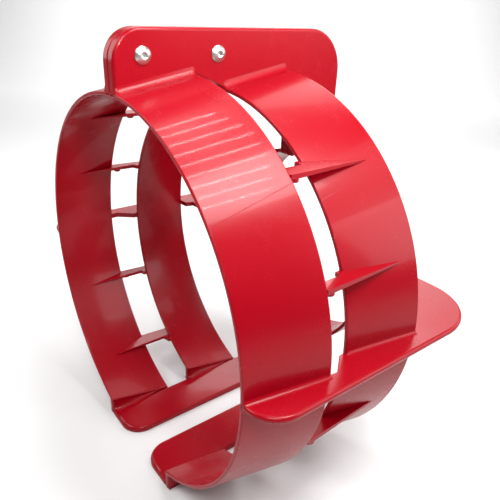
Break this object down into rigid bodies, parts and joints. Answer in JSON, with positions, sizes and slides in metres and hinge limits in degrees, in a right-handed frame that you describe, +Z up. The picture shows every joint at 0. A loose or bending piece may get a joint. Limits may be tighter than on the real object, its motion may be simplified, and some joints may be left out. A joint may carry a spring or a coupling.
{
  "type": "propeller guard",
  "caption": "Split ring guard for a small propeller: flared open rings joined by ribs, with side wings, a bolted top flange and flat feet.",
  "frame": {"origin": "on the surface that the feet stand on, under the middle of the guard's box", "axes": "+Z up, from the feet to the bolted flange; +Y along the rings' common axis from the front ring to the small rear ring; +X to the side that the screws' heads are on"},
  "size_m": [0.289, 0.1774, 0.287],
  "materials": {
    "guard_plastic": "glossy as moulded",
    "fastener_steel": "polished stainless"
  },
  "bodies": {
    "root": {"right_front_ring": "guard_plastic", "right_second_ring": "guard_plastic", "right_rear_ring": "guard_plastic", "right_flange": "guard_plastic", "right_wing": "guard_plastic", "right_foot": "guard_plastic", "right_rib_top": "guard_plastic", "right_rib_upper": "guard_plastic", "right_rib_lower": "guard_plastic", "right_rib_bottom": "guard_plastic", "left_front_ring": "guard_plastic", "left_second_ring": "guard_plastic", "left_rear_ring": "guard_plastic", "left_flange": "guard_plastic", "left_wing": "guard_plastic", "left_foot": "guard_plastic", "left_rib_top": "guard_plastic", "left_rib_upper": "guard_plastic", "left_rib_lower": "guard_plastic", "left_rib_bottom": "guard_plastic", "flange_screws": "fastener_steel", "flange_washers": "fastener_steel", "flange_nuts": "fastener_steel"}
  },
  "joints": []
}
